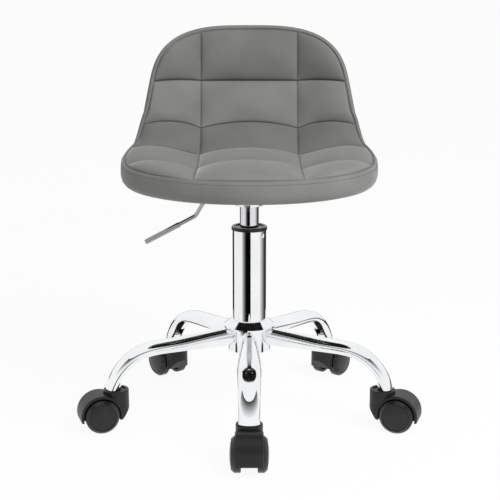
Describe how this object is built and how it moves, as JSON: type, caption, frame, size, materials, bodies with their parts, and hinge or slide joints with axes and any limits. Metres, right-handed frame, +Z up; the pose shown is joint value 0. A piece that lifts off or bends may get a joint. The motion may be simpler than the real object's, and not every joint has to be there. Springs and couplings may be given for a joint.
{
  "type": "adjustable swivel stool",
  "caption": "Low swivel stool with a quilted bucket seat and back, side release lever, gas lift column and a radial bent-tube base on hooded casters.",
  "frame": {"origin": "on the floor under the column's axis", "axes": "+Z up along the column, -Y towards the seat's front, +X to the right of someone who faces the stool's front"},
  "size_m": [0.5112, 0.4864, 0.5768],
  "materials": {
    "seat_fabric": "brushed velvet-like upholstery in mid grey over foam",
    "plywood": "bare moulded plywood, hidden in the padding",
    "chrome": "bright chrome plate",
    "black_plastic": "satin black nylon",
    "wheel_plastic": "smooth black nylon",
    "bush_plastic": "natural acetal",
    "rubber": "moulded black rubber",
    "black_paint": "black powder coat on pressed steel",
    "grip_metal": "satin plated sleeve",
    "bright_steel": "bright zinc-plated steel"
  },
  "bodies": {
    "base": {"base_hub": "chrome", "caster_sockets": "chrome", "caster_stems": "bright_steel", "leg_front": "chrome", "leg_front_right": "chrome", "leg_rear_right": "chrome", "leg_rear_left": "chrome", "leg_front_left": "chrome", "column_tube": "chrome", "column_cap": "black_plastic", "guide_bush": "bush_plastic", "bearing_lower_race": "bright_steel", "bearing_balls": "bright_steel", "bearing_cage": "bush_plastic"},
    "spindle": {"piston_rod": "bright_steel", "bearing_upper_race": "bright_steel", "retaining_clip": "bright_steel", "bump_stop": "rubber", "piston": "bush_plastic"},
    "seat": {"gas_cylinder": "chrome", "rod_guide": "bush_plastic", "seat_plate": "black_paint", "taper_socket": "black_paint", "lever_bracket": "black_paint", "lever_pivot_pin": "bright_steel", "seat_bolts": "bright_steel", "bolt_washers": "bright_steel", "tee_nuts": "bright_steel", "seat_shell": "plywood", "seat_pad": "seat_fabric", "rear_cover": "seat_fabric"},
    "lever": {"lever_rod": "chrome", "lever_grip": "grip_metal"},
    "valve": {"valve_pin": "bright_steel"},
    "caster_front": {"caster_front_body": "black_plastic", "caster_front_axle": "bright_steel"},
    "wheel_front_a": {"caster_front_wheel_a": "wheel_plastic"},
    "wheel_front_b": {"caster_front_wheel_b": "wheel_plastic"},
    "caster_front_right": {"caster_front_right_body": "black_plastic", "caster_front_right_axle": "bright_steel"},
    "wheel_front_right_a": {"caster_front_right_wheel_a": "wheel_plastic"},
    "wheel_front_right_b": {"caster_front_right_wheel_b": "wheel_plastic"},
    "caster_rear_right": {"caster_rear_right_body": "black_plastic", "caster_rear_right_axle": "bright_steel"},
    "wheel_rear_right_a": {"caster_rear_right_wheel_a": "wheel_plastic"},
    "wheel_rear_right_b": {"caster_rear_right_wheel_b": "wheel_plastic"},
    "caster_rear_left": {"caster_rear_left_body": "black_plastic", "caster_rear_left_axle": "bright_steel"},
    "wheel_rear_left_a": {"caster_rear_left_wheel_a": "wheel_plastic"},
    "wheel_rear_left_b": {"caster_rear_left_wheel_b": "wheel_plastic"},
    "caster_front_left": {"caster_front_left_body": "black_plastic", "caster_front_left_axle": "bright_steel"},
    "wheel_front_left_a": {"caster_front_left_wheel_a": "wheel_plastic"},
    "wheel_front_left_b": {"caster_front_left_wheel_b": "wheel_plastic"}
  },
  "joints": [
    {"name": "seat_swivel", "type": "hinge", "parent": "base", "child": "spindle", "pos_m": [0, 0, 0.10307], "axis": [0, 0, 1], "continuous": true},
    {"name": "seat_lift", "type": "slide", "parent": "spindle", "child": "seat", "axis": [0, 0, 1], "range_m": [0, 0.115]},
    {"name": "release_lever", "type": "hinge", "parent": "seat", "child": "lever", "pos_m": [-0.034, 0, 0.35747], "axis": [0, 1, 0], "range_deg": [0, 5], "stiffness_Nm_per_rad": 1, "springref_deg": -5.73},
    {"name": "valve_press", "type": "slide", "parent": "seat", "child": "valve", "axis": [0, 0, -1], "range_m": [0, 0.0032]},
    {"name": "caster_front_swivel", "type": "hinge", "parent": "base", "child": "caster_front", "pos_m": [0, -0.207, 0.06], "axis": [0, 0, 1], "continuous": true},
    {"name": "wheel_front_a_roll", "type": "hinge", "parent": "caster_front", "child": "wheel_front_a", "pos_m": [0, -0.232, 0.025], "axis": [1, 0, 0], "continuous": true},
    {"name": "wheel_front_b_roll", "type": "hinge", "parent": "caster_front", "child": "wheel_front_b", "pos_m": [0, -0.232, 0.025], "axis": [1, 0, 0], "continuous": true},
    {"name": "caster_front_right_swivel", "type": "hinge", "parent": "base", "child": "caster_front_right", "pos_m": [0.19687, -0.06397, 0.06], "axis": [0, 0, 1], "continuous": true},
    {"name": "wheel_front_right_a_roll", "type": "hinge", "parent": "caster_front_right", "child": "wheel_front_right_a", "pos_m": [0.22065, -0.07169, 0.025], "axis": [0.309, 0.9511, 0], "continuous": true},
    {"name": "wheel_front_right_b_roll", "type": "hinge", "parent": "caster_front_right", "child": "wheel_front_right_b", "pos_m": [0.22065, -0.07169, 0.025], "axis": [0.309, 0.9511, 0], "continuous": true},
    {"name": "caster_rear_right_swivel", "type": "hinge", "parent": "base", "child": "caster_rear_right", "pos_m": [0.12167, 0.16747, 0.06], "axis": [0, 0, 1], "continuous": true},
    {"name": "wheel_rear_right_a_roll", "type": "hinge", "parent": "caster_rear_right", "child": "wheel_rear_right_a", "pos_m": [0.13637, 0.18769, 0.025], "axis": [-0.809, 0.5878, 0], "continuous": true},
    {"name": "wheel_rear_right_b_roll", "type": "hinge", "parent": "caster_rear_right", "child": "wheel_rear_right_b", "pos_m": [0.13637, 0.18769, 0.025], "axis": [-0.809, 0.5878, 0], "continuous": true},
    {"name": "caster_rear_left_swivel", "type": "hinge", "parent": "base", "child": "caster_rear_left", "pos_m": [-0.12167, 0.16747, 0.06], "axis": [0, 0, 1], "continuous": true},
    {"name": "wheel_rear_left_a_roll", "type": "hinge", "parent": "caster_rear_left", "child": "wheel_rear_left_a", "pos_m": [-0.13637, 0.18769, 0.025], "axis": [-0.809, -0.5878, 0], "continuous": true},
    {"name": "wheel_rear_left_b_roll", "type": "hinge", "parent": "caster_rear_left", "child": "wheel_rear_left_b", "pos_m": [-0.13637, 0.18769, 0.025], "axis": [-0.809, -0.5878, 0], "continuous": true},
    {"name": "caster_front_left_swivel", "type": "hinge", "parent": "base", "child": "caster_front_left", "pos_m": [-0.19687, -0.06397, 0.06], "axis": [0, 0, 1], "continuous": true},
    {"name": "wheel_front_left_a_roll", "type": "hinge", "parent": "caster_front_left", "child": "wheel_front_left_a", "pos_m": [-0.22065, -0.07169, 0.025], "axis": [0.309, -0.9511, 0], "continuous": true},
    {"name": "wheel_front_left_b_roll", "type": "hinge", "parent": "caster_front_left", "child": "wheel_front_left_b", "pos_m": [-0.22065, -0.07169, 0.025], "axis": [0.309, -0.9511, 0], "continuous": true}
  ],
  "couplings": [
    {"joint": "valve_press", "follows": "release_lever", "m_per_rad": 0.034}
  ]
}
